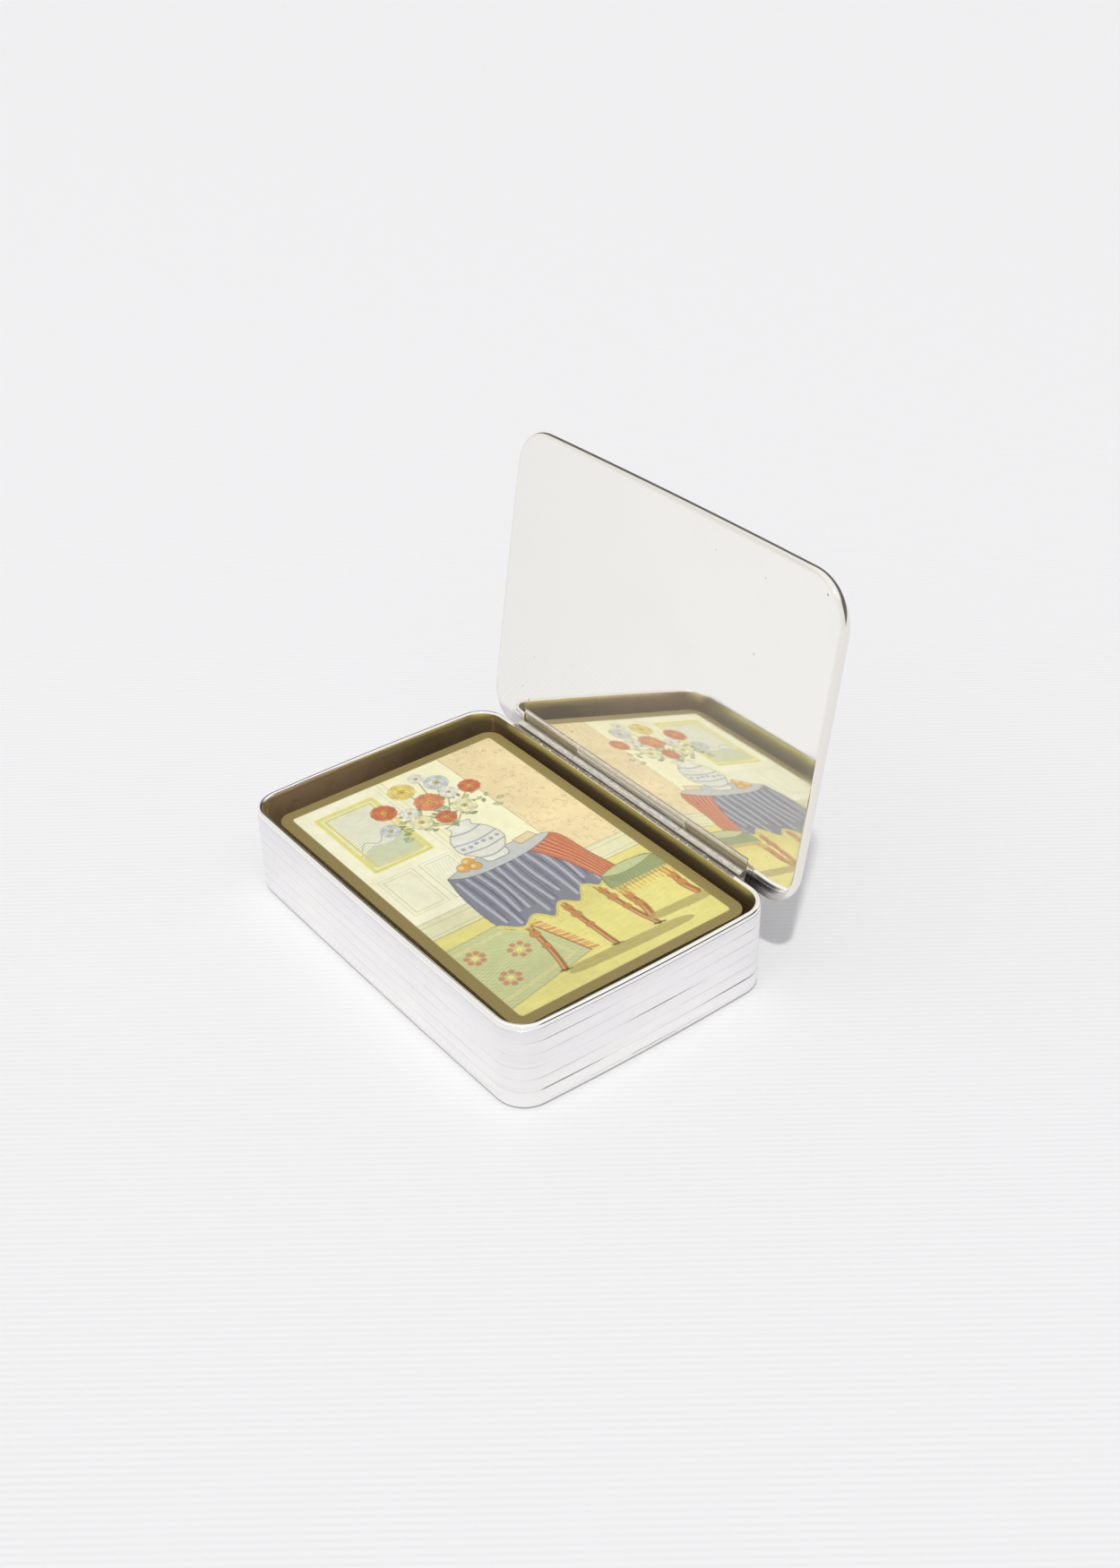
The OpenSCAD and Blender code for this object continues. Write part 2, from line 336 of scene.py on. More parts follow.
def soldered_strip():
    """Dull strips beside the hinge, pitted, and golden where the lid's channel is deepest."""
    n = material("soldered_strip")
    beside = abs(n.xyz()[0])
    rise, _ = n.lid_axes()
    outer = n.step(beside, MIDDLE_HALF - 0.1, MIDDLE_HALF + 0.3)
    deep = n.step(rise, 0.7, 1.1) * n.step(rise, 2.35, 2.15)
    gold = deep * outer * 0.8
    grain = n.noise(1.9, 5, (0.4, 1, 1), 0.7)
    speck = n.step(n.noise(3.0, 2, (0.6, 1, 1)), 0.64, 0.72)
    colour = n.mix(n.step(grain, 0.35, 0.72), (0.72, 0.69, 0.62), (0.9, 0.87, 0.8))
    colour = n.mix(gold, colour, (0.62, 0.54, 0.32))
    colour = n.mix(speck * 0.7, colour, (0.97, 0.95, 0.9))
    seam = abs(beside - (MIDDLE_HALF + 0.12))
    colour = n.mix(n.step(seam, 0.22, 0.14), colour, (0.96, 0.94, 0.89))
    return n.surface(colour, grain * 0.22 + 0.2, 0.8, n.bump(grain, 0.025, 0.45))


def pasteboard():
    """Cards: cream stock with a plain lattice inside a border, and dull gilt edges kept dark as
    painted shade for the gap round the pack.
    """
    n = material("pasteboard")
    x, y, _ = n.xyz()
    along = x - CARD_CENTRE[0]
    across = y - CARD_CENTRE[1]
    paper = n.mix(n.noise(0.2, 4), (0.8, 0.76, 0.63), (0.88, 0.85, 0.75))
    border = n.math("MAXIMUM", abs(along) - CARD[0] / 2, abs(across) - CARD[1] / 2)
    inside = n.step(border, -3.9, -4.1)
    ring = n.step(border, -3.5, -3.4) * n.step(border, -3.05, -3.15)
    lines = []
    for sign in (1, -1):
        wave = n.math("SINE", (along + across * (sign * 1.3)) * 2.2)
        lines.append(n.step(abs(wave), 0.0, 0.35))
    lattice = 1.0 - n.math("MINIMUM", lines[0], lines[1])
    ink = n.math("MAXIMUM", lattice * inside, ring)
    facing = n.result(n.add("ShaderNodeNewGeometry"), "Normal")
    flat = n.step(abs(n.split(facing)[2]), 0.6, 0.9)
    colour = n.mix(ink * flat * 0.8, paper, (0.24, 0.3, 0.2))
    # Dull gilt edges, dark as painted shade for the gap between the pack and the walls
    gilt = n.mix(n.noise(0.9, 3, (1, 1, 4)), (0.66, 0.54, 0.27), (0.42, 0.33, 0.16))
    colour = n.mix(flat, gilt, colour)
    return n.surface(colour, 0.4, 1.0 - flat, n.bump(n.noise(3.0, 2), 0.01, 0.3))


def printed():
    """Hand-coloured print: the drawn colours, with the paper's grain and aged varnish."""
    n = material("printed")
    ink = n.result(n.add("ShaderNodeAttribute", attribute_name="ink"), "Color")
    foxing = n.step(n.noise(0.5, 2), 0.68, 0.76)
    wash = n.noise(0.12, 4, rough=0.6)
    grain = n.noise(3.2, 3, rough=0.6)
    colour = n.mix(n.step(wash, 0.3, 0.75) * 0.1, ink, (0.93, 0.86, 0.52), "MULTIPLY")
    colour = n.mix(n.step(grain, 0.45, 0.8) * 0.1, colour, (0.8, 0.78, 0.66), "MULTIPLY")
    colour = n.mix(foxing * 0.16, colour, (0.7, 0.55, 0.25), "MULTIPLY")
    return n.surface(colour, 0.34, 0.0, n.bump(grain, 0.006, 0.4), Specular_IOR_Level=0.35)


SILVER = silver_outside()
RIM = silver_rim()
GILT = gilding()
MIRROR = mirror_silver()
TUBE = worn_tube()
STRIP = soldered_strip()
PASTEBOARD = pasteboard()
PRINT = printed()


# Mesh helpers

def add_object(name, data):
    made = bpy.data.objects.new(name, data)
    bpy.context.scene.collection.objects.link(made)
    return made


def new_mesh(name, points, faces, materials, face_slots=None):
    """Mesh from points in millimetres."""
    mesh = bpy.data.meshes.new(name)
    mesh.from_pydata([[value * MM for value in point] for point in points], [], faces)
    for made in materials:
        mesh.materials.append(made)
    if face_slots is not None:
        mesh.polygons.foreach_set("material_index", face_slots)
    return mesh


def mark_sharp(work, sharp):
    """Smooth shading everywhere but at edges sharper than the given angle."""
    limit = math.radians(sharp)
    for face in work.faces:
        face.smooth = len(face.verts) < 5
    for edge in work.edges:
        edge.smooth = len(edge.link_faces) != 2 or edge.calc_face_angle(0) <= limit


def new_object(name, points, faces, materials, face_slots=None, sharp=35.0):
    """Object from points in millimetres, smooth except at sharp edges."""
    mesh = new_mesh(name, points, faces, materials, face_slots)
    work = bmesh.new()
    work.from_mesh(mesh)
    bmesh.ops.remove_doubles(work, verts=work.verts, dist=1e-8)
    bmesh.ops.recalc_face_normals(work, faces=work.faces)
    mark_sharp(work, sharp)
    work.to_mesh(mesh)
    work.free()
    return add_object(name, mesh)


def ring_faces(rings, count, closed=False):
    """Faces between each ring of points and the next, and from the last to the first if closed."""
    faces = []
    for ring in range(rings if closed else rings - 1):
        here, there = ring * count, (ring + 1) % rings * count
        for i in range(count):
            j = (i + 1) % count
            faces.append((here + i, here + j, there + j, there + i))
    return faces


def outline(length, width, corner, bow_ends, bow_sides, straight=24, arc=14):
    """Points and outward normals round a rounded rectangle whose sides bow inwards
    towards the corners, so that the middles touch the given length and width."""
    half_x, half_y = length / 2 - corner, width / 2 - corner
    points = []
    for turn in range(4):
        angle = turn * math.pi / 2
        side, reach = (half_x, half_y) if turn % 2 else (half_y, half_x)
        local = [(reach + corner, -side + 2 * side * i / straight) for i in range(straight)]
        for i in range(arc):
            bend = math.pi / 2 * i / arc
            local.append((reach + corner * math.cos(bend), side + corner * math.sin(bend)))
        for a, b in local:
            x = a * math.cos(angle) - b * math.sin(angle)
            y = a * math.sin(angle) + b * math.cos(angle)
            x *= 1 - bow_ends * (abs(y) / (width / 2)) ** 2 / (length / 2)
            y *= 1 - bow_sides * (abs(x) / (length / 2)) ** 2 / (width / 2)
            points.append(Vector((x, y)))
    normals = []
    for i in range(len(points)):
        run = (points[(i + 1) % len(points)] - points[i - 1]).normalized()
        normals.append(Vector((run.y, -run.x)))
    return points, normals


def sweep(name, path, profile, materials, slots, sharp, depth=lambda row, point, normal: 0):
    """Runs a closed profile of (outwards, up) points round a path, less any depth."""
    points, normals = path
    verts = []
    for row, (out, up) in enumerate(profile):
        for point, normal in zip(points, normals):
            reach = out - depth(row, point, normal)
            verts.append((point.x + normal.x * reach, point.y + normal.y * reach, up))
    face_slots = [slot for slot in slots for _ in points]
    faces = ring_faces(len(profile), len(points), closed=True)
    return new_object(name, verts, faces, materials, face_slots, sharp)


def bar(name, sections, rows, raised=0):
    """Straight strip along X: rows of (y, z) joined at each (x, lift), where the lift
    brings the first few rows down towards the viewer of the open lid."""
    verts = []
    for x, lift in sections:
        verts += [(x, y, z - (lift if i < raised else 0)) for i, (y, z) in enumerate(rows)]
    count = len(rows)
    faces = ring_faces(len(sections), count)
    faces += [tuple(range(count)), tuple(reversed(range(len(verts) - count, len(verts))))]
    return new_object(name, verts, faces, [STRIP])


PIN = Vector((0, AXIS_Y, AXIS_Z)) * MM
LID_TURN = Matrix.Translation(PIN) @ Matrix.Rotation(-LID_OPEN, 4, "X") @ Matrix.Translation(-PIN)


# The case

def wall_line():
    """Outside of the wall from the flange up, as (outwards, up, share of groove)."""
    line = [(-FOOT_EDGE, 0.02, 0), (-1.7, 0.0, 0)]
    for i in range(1, 9):
        angle = math.pi / 2 * i / 9
        line.append((-FOOT_RADIUS + FOOT_RADIUS * math.sin(angle) - 0.02,
                     FOOT_RADIUS - FOOT_RADIUS * math.cos(angle), 0))
    for rib in range(RIBS):
        for share in RIB_SHARES:
            near = min(share, 1 - share)
            line.append((-0.02 - 0.035 * math.cos(math.pi * near) ** 2,
                         FOOT_RADIUS + RIB_HEIGHT * rib + RIB_HEIGHT * share,
                         math.exp(-(near / GROOVE_WIDTH) ** 2)))
    line.append((-0.16, WALL_TOP, 0))
    return line


def ribbed_wall(path):
    """The wall's shell: the grooves are deeper on the ends than along the front."""
    wall = wall_line()
    inner = [(WALL_INSIDE, WALL_TOP), (WALL_INSIDE, 17.0), (WALL_INSIDE, 2.6), (-1.3, 1.4),
             (-1.7, 1.02), (-FOOT_EDGE, 1.0)]

    def depth(row, point, normal):
        if row >= len(wall):
            return 0
        _, up, groove = wall[row]
        wear = 0.62 + 0.38 * math.sin(point.x * 0.11 + up * 1.7) * math.sin(point.y * 0.13 + up)
        deep = groove * wear * (0.05 + 0.075 * abs(normal.x))
        return deep * 1.3 if up < 5.0 else deep

    profile = [(out, up) for out, up, _ in wall] + inner
    slots = [0] * len(wall) + [1] * len(inner)
    return sweep("case_wall_ribbed", path, profile, [SILVER, GILT], slots, 50, depth)


def rim_line():
    """Rim: a rounded top between its inner and outer face."""
    inner, outer = -1.3, -0.1
    line = [(outer - 0.03, WALL_TOP)]
    for i in range(11):
        angle = math.pi / 2 * i / 10
        line.append((outer - 0.72 + 0.72 * math.cos(angle),
                     RIM_TOP - 0.55 + 0.55 * math.sin(angle)))
    for i in range(1, 9):
        angle = math.pi / 2 + math.pi / 2 * i / 8
        line.append((inner + 0.48 + 0.48 * math.cos(angle),
                     RIM_TOP - 0.45 + 0.45 * math.sin(angle)))
    line.append((inner, WALL_TOP))
    return line


case_path = outline(*CASE, CASE_CORNER, BOW_ENDS, BOW_SIDES)
case_wall = ribbed_wall(case_path)
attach(case_wall, "case")
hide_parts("case_wall")

rim = rim_line()
case_rim = sweep("case_rim", case_path, rim, [RIM, GILT], [0] * (len(rim) - 3) + [1] * 3, 60)
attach(case_rim, "case")
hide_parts("rim_wire")


# The lid

def lid_outline(arc=24):
    """Outline of the closed lid: the front edge bows out and runs slightly askew."""
    half = LID_LENGTH / 2
    front_left, front_right, back = LID_CORNERS
    points = []

    def front(x):
        return LID_FRONT + LID_BOW * (x / half) ** 2 + LID_SKEW * x / half

    def end(side, y):
        return side * (half - LID_END_BOW * ((y - 1.0) / 35.0) ** 2)

    def corner(x, y, radius, first):
        for i in range(1, arc):
            angle = first + math.pi / 2 * i / arc
            points.append((x + radius * math.cos(angle), y + radius * math.sin(angle)))

    def run(start, stop, steps, place):
        for i in range(steps + 1):
            points.append(place(start + (stop - start) * i / steps))

    low_left = front(-half + front_left) + front_left
    low_right = front(half - front_right) + front_right
    top = LID_BACK - back
    run(-half + front_left, half - front_right, 60, lambda x: (x, front(x)))
    corner(half - front_right - 0.12, low_right, front_right, -math.pi / 2)
    run(low_right, top, 36, lambda y: (end(1, y), y))
    corner(half - back - 0.15, top, back, 0)
    run(half - back - 0.15, -half + back + 0.15, 60, lambda x: (x, LID_BACK))
    corner(-half + back + 0.15, top, back, math.pi / 2)
    run(top, low_left, 36, lambda y: (end(-1, y), y))
    corner(-half + front_left + 0.12, low_left, front_left, math.pi)
    return points


def even_steps(points, count):
    """The same closed line with its points evenly spaced and then smoothed a little."""
    line = np.array(points + points[:1])
    along = np.concatenate([[0], np.cumsum(np.hypot(*np.diff(line, axis=0).T))])
    places = np.linspace(0, along[-1], count, endpoint=False)
    spaced = np.stack([np.interp(places, along, line[:, k]) for k in (0, 1)], -1)
    for _ in range(3):
        spaced = 0.25 * np.roll(spaced, 1, 0) + 0.5 * spaced + 0.25 * np.roll(spaced, -1, 0)
    return spaced


def lid_skin():
    """Closed slab with a rounded edge round a flat polished face."""
    line = even_steps(lid_outline(), 520)
    run = np.roll(line, -1, 0) - np.roll(line, 1, 0)
    run /= np.hypot(run[:, 0], run[:, 1])[:, None]
    normal = np.stack([run[:, 1], -run[:, 0]], -1)
    insets = (0.3, 0.8, 1.6, 2.8, 4.4)
    rings = [(-INNER_EDGE[0] - inset, LID_BOTTOM) for inset in reversed(insets)]
    for i in range(25):
        angle = -math.pi / 2 + math.pi * i / 24
        reach, rise = INNER_EDGE if i < 12 else OUTER_EDGE
        rings.append((-reach + reach * math.cos(angle),
                      LID_BOTTOM + INNER_EDGE[1] + rise * math.sin(angle)))
    rings += [(-OUTER_EDGE[0] - inset, LID_BOTTOM + LID_THICKNESS) for inset in insets]
    verts = []
    for out, up in rings:
        verts += [(x + LID_SHIFT_X, y, up) for x, y in line + normal * out]
    count = len(line)
    faces = ring_faces(len(rings), count)
    faces += [tuple(range(count)), tuple(range(len(verts) - count, len(verts)))]
    return new_object("lid_skin", verts, faces, [MIRROR, STRIP], sharp=40)


def cut_box(target, low, high, material_used):
    """Takes a box out of a closed mesh; the new faces get the given material."""
    mesh = bpy.data.meshes.new("cutter")
    work = bmesh.new()
    bmesh.ops.create_cube(work, size=1.0)
    for vert in work.verts:
        vert.co = Vector([MM * (low[i] if vert.co[i] < 0 else high[i]) for i in range(3)])
    work.to_mesh(mesh)
    work.free()
    mesh.materials.append(material_used)
    cutter = add_object("cutter", mesh)
    modifier = target.modifiers.new("cut", "BOOLEAN")
    modifier.object, modifier.operation, modifier.solver = cutter, "DIFFERENCE", "EXACT"
    modifier.material_mode = "TRANSFER"
    seen = target.evaluated_get(bpy.context.evaluated_depsgraph_get())
    done = bpy.data.meshes.new_from_object(seen)
    target.modifiers.clear()
    target.data = done
    work = bmesh.new()
    work.from_mesh(done)
    mark_sharp(work, 25)
    for face in work.faces:
        if abs(face.normal.z) > 0.9999:
            face.smooth = False
    work.to_mesh(done)
    work.free()
    bpy.data.objects.remove(cutter)


lid = lid_skin()
cut_box(lid, (-HINGE_HALF - 0.15, AXIS_Y - LEAF_REACH, LID_BOTTOM - 1),
        (HINGE_HALF + 0.15, AXIS_Y + 0.92, LID_BOTTOM + 1.0), STRIP)
lid.data.transform(LID_TURN)
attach(lid, "lid")
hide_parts("lid_shell", "lid_inner_plate")


def lid_leaf():
    """Strip in the lid's channel with two rolled ridges and raised seams across it."""
    roof = LID_BOTTOM + 0.95
    front, back = AXIS_Y - LEAF_REACH + 0.03, AXIS_Y + 0.9
    # Distance from the front edge of the strip, height above the lid's inner face
    shape = [(0.0, 0.0), (0.25, 0.02), (0.4, 0.22), (0.6, 0.24), (0.78, 0.05), (0.98, 0.0),
             (1.22, 0.0), (1.45, 0.0), (1.62, 0.2), (1.8, 0.3), (2.75, 0.34), (2.78, 0.6)]
    rows = [(front + out, LID_BOTTOM + up + 0.03) for out, up in shape]
    rows += [(back, roof - 0.06), (back, roof + 0.3), (front, roof + 0.3)]
    sections = [(-HINGE_HALF, 0.1), (-HINGE_HALF + 0.25, 0.1), (-HINGE_HALF + 0.35, 0)]
    for seam in (-MIDDLE_HALF - 0.15, MIDDLE_HALF + 0.15):
        sections += [(seam - 0.22, 0), (seam - 0.14, 0.14), (seam + 0.14, 0.14), (seam + 0.22, 0)]
    sections += [(HINGE_HALF - 0.35, 0), (HINGE_HALF - 0.25, 0.1), (HINGE_HALF, 0.1)]
    return bar("lid_leaf_strip", sections, rows, raised=len(shape))


def lid_tongue():
    """Plate over the middle tube, with a fine bead along it."""
    front, back = AXIS_Y - 1.95, AXIS_Y - 0.05
    shape = [(front, 0.02), (front + 0.12, -0.05), (front + 0.3, -0.06), (front + 0.45, 0.02),
             (front + 1.3, 0.06), (AXIS_Y - 0.55, 0.12), (AXIS_Y - 0.3, 0.2), (back, 0.25),
             (back, 0.6), (front, 0.6)]
    rows = [(y, LID_BOTTOM + up) for y, up in shape]
    return bar("lid_tongue", [(-MIDDLE_HALF, 0), (MIDDLE_HALF, 0)], rows)


for piece in (lid_leaf(), lid_tongue()):
    piece.data.transform(LID_TURN)
    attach(piece, "lid")
    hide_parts("lid_hinge_leaf")


# Solids that keep their shape and get a finish

for finish, nodes in ((TUBE, ("knuckle_left", "knuckle_right", "knuckle_middle")),
                      (STRIP, ("case_hinge_leaf", "hinge_pin")),
                      (GILT, ("base_plate",)),
                      (PASTEBOARD, ("cards_spades", "cards_hearts", "cards_diamonds",
                                    "cards_clubs", "joker_card"))):
    for node in nodes:
        for slot in frame["nodes"][node].material_slots:
            slot.link = "OBJECT"
            slot.material = finish


# The picture card

CELL = 0.2
BORDER = 2.6
PETALS = 11


class Picture:
    """Colours on a grid over the card. u runs down the picture, v from left to right."""

    def __init__(self):
        self.nu = int(CARD[0] / CELL) + 1
        self.nv = int(CARD[1] / CELL) + 1
        u = np.linspace(0, CARD[0], self.nu)
        v = np.linspace(0, CARD[1], self.nv)
        self.u, self.v = np.meshgrid(u, v, indexing="ij")
        self.all = (slice(0, self.nu), slice(0, self.nv))
        self.colour = np.zeros((self.nu, self.nv, 3))
        self.dice = np.random.default_rng(7)
        self.page = (BORDER, BORDER + 0.1, CARD[0] - BORDER, CARD[1] - BORDER - 0.1)
        self.wash = self.cloud(9.0) * 0.6 + self.cloud(3.0) * 0.4

    def cloud(self, size):
        """Smooth random field between -1 and 1 with features of the given size."""
        rows, cols = int(CARD[0] / size) + 2, int(CARD[1] / size) + 2
        seeds = self.dice.uniform(-1, 1, (rows + 1, cols + 1))
        a, b = self.u / size, self.v / size
        i, j = a.astype(int), b.astype(int)
        s, t = a - i, b - j
        s, t = s * s * (3 - 2 * s), t * t * (3 - 2 * t)
        return ((seeds[i, j] * (1 - s) + seeds[i + 1, j] * s) * (1 - t)
                + (seeds[i, j + 1] * (1 - s) + seeds[i + 1, j + 1] * s) * t)

    def window(self, points, margin):
        """The part of the grid round some points."""
        low = np.min(points, axis=0) - margin
        high = np.max(points, axis=0) + margin
        rows = slice(max(0, int(low[0] / CELL)), max(0, int(high[0] / CELL) + 2))
        cols = slice(max(0, int(low[1] / CELL)), max(0, int(high[1] / CELL) + 2))
        return rows, cols

    def off_page(self, part):
        """Distance to the printed page, negative on it."""
        u, v = self.u[part], self.v[part]
        u0, v0, u1, v1 = self.page
        return np.maximum(np.maximum(u0 - u, u - u1), np.maximum(v0 - v, v - v1))

    def blend(self, part, colour, cover):
        cover = cover[..., None]
        self.colour[part] = self.colour[part] * (1 - cover) + np.asarray(colour) * cover

    def put(self, part, distance, colour, strength=1.0, clip=True):
        """Paints where the distance is below zero, fading over the edge."""
        if clip:
            distance = np.maximum(distance, self.off_page(part))
        self.blend(part, colour, np.clip(0.5 - distance / 0.18, 0, 1) * strength)

    def edge_distance(self, part, corners):
        u, v = self.u[part], self.v[part]
        best = np.full(u.shape, 1e9)
        for (u0, v0), (u1, v1) in zip(corners, corners[1:]):
            du, dv = u1 - u0, v1 - v0
            share = np.clip(((u - u0) * du + (v - v0) * dv) / max(du * du + dv * dv, 1e-9), 0, 1)
            best = np.minimum(best, np.hypot(u - u0 - share * du, v - v0 - share * dv))
        return best

    def line(self, points, colour, thick=0.08, strength=0.75, rounded=True):
        path = smooth_line(points) if rounded and len(points) > 2 else points
        part = self.window(path, thick + 0.5)
        self.put(part, self.edge_distance(part, path) - thick, colour, strength)

    def loop(self, corners, colour, thick, strength):
        """Straight line round all corners."""
        self.line(corners + corners[:1], colour, thick, strength, False)

    def inside(self, part, corners):
        """Signed distance to a polygon, negative inside."""
        u, v = self.u[part], self.v[part]
        within = np.zeros(u.shape, bool)
        closed = corners + corners[:1]
        for (u0, v0), (u1, v1) in zip(closed, closed[1:]):
            if v0 != v1:
                within ^= ((v0 > v) != (v1 > v)) & (u < (u1 - u0) * (v - v0) / (v1 - v0) + u0)
        distance = self.edge_distance(part, closed)
        return np.where(within, -distance, distance)

    def hatch(self, part, distance, pitch, angle, strength):
        """Fine drawn lines inside a shape, stronger in some places than in others."""
        u, v = self.u[part], self.v[part]
        across = u * math.cos(angle) + v * math.sin(angle)
        along = v * math.cos(angle) - u * math.sin(angle)
        wave = (across + 0.25 * np.sin(along * 0.7 + 1.3)) / pitch
        line = np.abs(wave % 1 - 0.5) * pitch
        cover = np.clip(0.5 - (line - 0.05) / 0.22, 0, 1) * np.clip(0.5 - distance / 0.2, 0, 1)
        cover = cover * strength * np.clip(0.65 + 0.8 * self.wash[part], 0.1, 1.2)
        self.blend(part, INK, cover * (self.off_page(part) < 0))

    def shape(self, corners, colour, ink=0.6, strength=0.95, hatches=(), rounded=True):
        """A washed area with a drawn outline; its wash is uneven, as laid on by hand."""
        path = smooth_line(corners + corners[:1])[:-1] if rounded else corners
        part = self.window(path, 0.8)
        distance = self.inside(part, path)
        uneven = 1 + 0.1 * self.wash[part][..., None]
        self.put(part, distance, np.clip(np.asarray(colour) * uneven, 0, 0.95), strength)
        for pitch, angle, power in hatches:
            self.hatch(part, distance, pitch, angle, power)
        if ink:
            self.put(part, np.abs(distance) - 0.07, INK, min(1.0, 1.25 * ink))
        return part, distance

    def disc(self, u0, v0, size, colour, ink=0.0, strength=0.95):
        part = self.window([(u0, v0)], size + 0.6)
        distance = np.hypot(self.u[part] - u0, self.v[part] - v0) - size
        self.put(part, distance, colour, strength)
        if ink:
            self.put(part, np.abs(distance) - 0.04, INK, ink)


def smooth_line(points, steps=7):
    """Rounded line through points."""
    out = []
    padded = [points[0]] + list(points) + [points[-1]]
    for a, b, c, d in zip(padded, padded[1:], padded[2:], padded[3:]):
        for i in range(steps):
            t = i / steps
            out.append(tuple(0.5 * (2 * b[k] + (c[k] - a[k]) * t
                                    + (2 * a[k] - 5 * b[k] + 4 * c[k] - d[k]) * t * t
                                    + (3 * b[k] - a[k] - 3 * c[k] + d[k]) * t ** 3)
                             for k in (0, 1)))
    out.append(points[-1])
    return out


def around(u0, v0, reach, turn):
    """The place that lies a given reach away in a given direction."""
    return u0 + reach * math.sin(turn), v0 + reach * math.cos(turn)


def box(u0, v0, u1, v1):
    return [(u0, v0), (u0, v1), (u1, v1), (u1, v0)]


CREAM = (0.955, 0.93, 0.63)
PALE_WALL = (0.96, 0.945, 0.7)
YELLOW = (0.84, 0.77, 0.22)
OCHRE = (0.8, 0.73, 0.24)
SAGE = (0.6, 0.65, 0.34)
DEEP_SAGE = (0.34, 0.4, 0.19)
GREY_BLUE = (0.24, 0.25, 0.32)
PALE_BLUE = (0.62, 0.65, 0.62)
RUST = (0.64, 0.2, 0.09)
BROWN = (0.45, 0.17, 0.06)
TAN = (0.87, 0.72, 0.42)
STRAW = (0.86, 0.8, 0.48)
INK = (0.055, 0.048, 0.045)
WHITE = (0.86, 0.86, 0.74)
OLIVE = (0.29, 0.228, 0.082)
MOULDING = (0.36, 0.31, 0.15)


def draw_room(p):
    """Wall, panelling, patterned hanging, skirting and floor."""
    everywhere = np.full(p.u.shape, -1.0)
    p.put(p.all, everywhere, OLIVE, clip=False)
    p.put(p.all, everywhere, CREAM)
    p.shape(box(0, 0, 51, 23.5), PALE_WALL, 0, rounded=False)
    # Picture frame on the wall, with a sketched landscape in it
    part, distance = p.shape(box(6.5, 6.5, 30, 20.5), (0.84, 0.85, 0.66), 0.3, rounded=False)
    p.hatch(part, distance + 1.5, 0.7, 0.15, 0.5)
    p.line([(24, 7), (20, 10), (21.5, 13), (17.5, 16.5), (19, 20)], INK, 0.09, 0.6)
    hills = [(24, 7.5), (22, 11), (23, 15), (21, 19.8), (28.5, 19.8), (28.5, 7.5)]
    p.shape(hills, (0.66, 0.71, 0.46), 0.2, 0.8, ((0.6, 0.5, 0.45),))
    for inset, colour, thick in ((0, YELLOW, 0.55), (1.3, YELLOW, 0.28)):
        corners = box(6.5 + inset, 6.5 + inset, 30 - inset, 20.5 - inset)
        p.loop(corners, colour, thick, 0.95)
        p.loop(corners, INK, 0.03, 0.45)
    # Panel mouldings
    for u0, u1, v0, v1 in ((33.5, 47.5, 4.5, 13), (33.5, 47.5, 14.6, 22.5)):
        for inset in (0, 0.9):
            corners = box(u0 + inset, v0 + inset, u1 - inset, v1 - inset)
            p.loop(corners, (0.34, 0.3, 0.14), 0.06, 0.6)
        part = p.window(box(u0 + 1.5, v0 + 1.5, u1 - 1.5, v1 - 1.5), 0)
        p.hatch(part, np.full(p.u[part].shape, -1.0), 0.75, 1.2, 0.28)
    for v0 in (22.9, 24, 25.4):
        p.line([(2, v0), (50, v0 + 0.3)], MOULDING, 0.06, 0.5)
    # Patterned hanging on the right
    hanging = [(0, 40.5), (0, 60), (51, 60), (51, 42)]
    part, distance = p.shape(hanging, TAN, 0.5, rounded=False)
    for _ in range(150):
        u0, v0 = p.dice.uniform(2.5, 50), p.dice.uniform(41.5, 55.5)
        turn, size = p.dice.uniform(0, 6.28), p.dice.uniform(0.45, 0.95)
        curl = [around(u0, v0, size * (0.35 + a / 5), turn + a) for a in np.linspace(0, 3.6, 7)]
        p.line(curl, (0.42, 0.22, 0.1), 0.05, 0.6, False)
    p.hatch(part, distance, 0.8, 1.5, 0.12)
    # Skirting and floor
    p.shape(box(50.5, 0, 56.5, 60), (0.8, 0.78, 0.5), 0.55, rounded=False)
    for u0 in (52, 55.4):
        p.line([(u0, 0), (u0, 60)], MOULDING, 0.06, 0.55)
    part, distance = p.shape(box(56.5, 0, 90, 60), OCHRE, 0.5, rounded=False)
    p.hatch(part, distance, 1.3, 0.06, 0.1)
    for _ in range(26):
        u0, v0 = p.dice.uniform(58, 84), p.dice.uniform(4, 54)
        end = (u0 + 0.2, v0 + p.dice.uniform(1, 4))
        p.line([(u0, v0), end], (0.45, 0.38, 0.12), 0.05, 0.35)


def draw_rug(p):
    """Rug with flowers inside a border, and a fringe."""
    rug = [(61, -2), (60, 19.5), (78, 25.5), (83.5, -2)]
    p.shape(rug, SAGE, 0.5, 0.9, ((0.75, 0.25, 0.42), (1.1, -0.5, 0.25)), rounded=False)
    inner = [(63.2, -2), (62.3, 17.8), (76.5, 22.2), (81, -2)]
    p.line(inner, (0.8, 0.72, 0.34), 0.32, 0.85, False)
    p.line(inner, INK, 0.04, 0.4, False)
    for u0, v0, size in ((66, 6, 1.7), (69, 14.5, 1.9), (75, 8, 1.8)):
        for k in range(7):
            p.disc(*around(u0, v0, size, k * 0.9), 0.62, RUST, 0.3, 0.8)
        p.disc(u0, v0, 0.8, YELLOW, 0.4)
    for k in range(34):
        share = k / 33
        u0, v0 = 60.1 + share * 17.8, 19.6 + share * 5.9
        colour = RUST if k % 3 else (0.82, 0.62, 0.2)
        p.line([(u0, v0), (u0 + 0.5 + 0.2 * (k % 2), v0 + 2.1)], colour, 0.17, 0.85)
    p.line([(60, 19.5), (78, 25.5)], BROWN, 0.2, 0.9)


